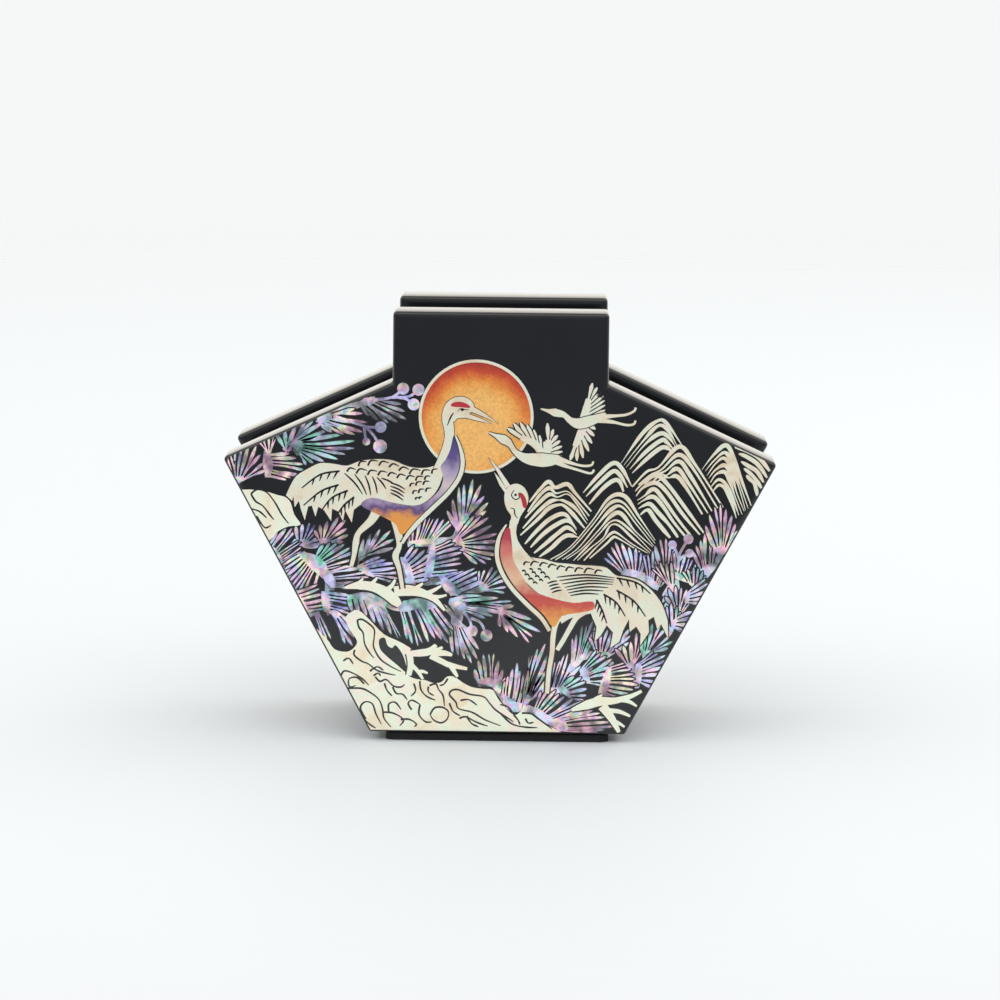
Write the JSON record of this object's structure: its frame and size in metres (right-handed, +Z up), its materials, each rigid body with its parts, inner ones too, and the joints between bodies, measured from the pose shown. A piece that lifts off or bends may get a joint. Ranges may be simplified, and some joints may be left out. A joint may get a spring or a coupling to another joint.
{
  "type": "card case",
  "caption": "Desk-top case that holds business cards upright between two lacquered boards of one jar outline.",
  "frame": {"origin": "on the ground, below the middle of the case", "axes": "+Z up, +X along the width, the inlaid front board faces -Y"},
  "size_m": [0.1192, 0.051, 0.0939],
  "materials": {
    "black_lacquer": "gloss",
    "inner_lacquer": "satin",
    "felt": "matte",
    "shell_inlay": "gloss"
  },
  "bodies": {
    "root": {"front_plate": "black_lacquer", "back_plate": "black_lacquer", "inner_frame": "inner_lacquer", "base_pad": "felt"}
  },
  "joints": []
}
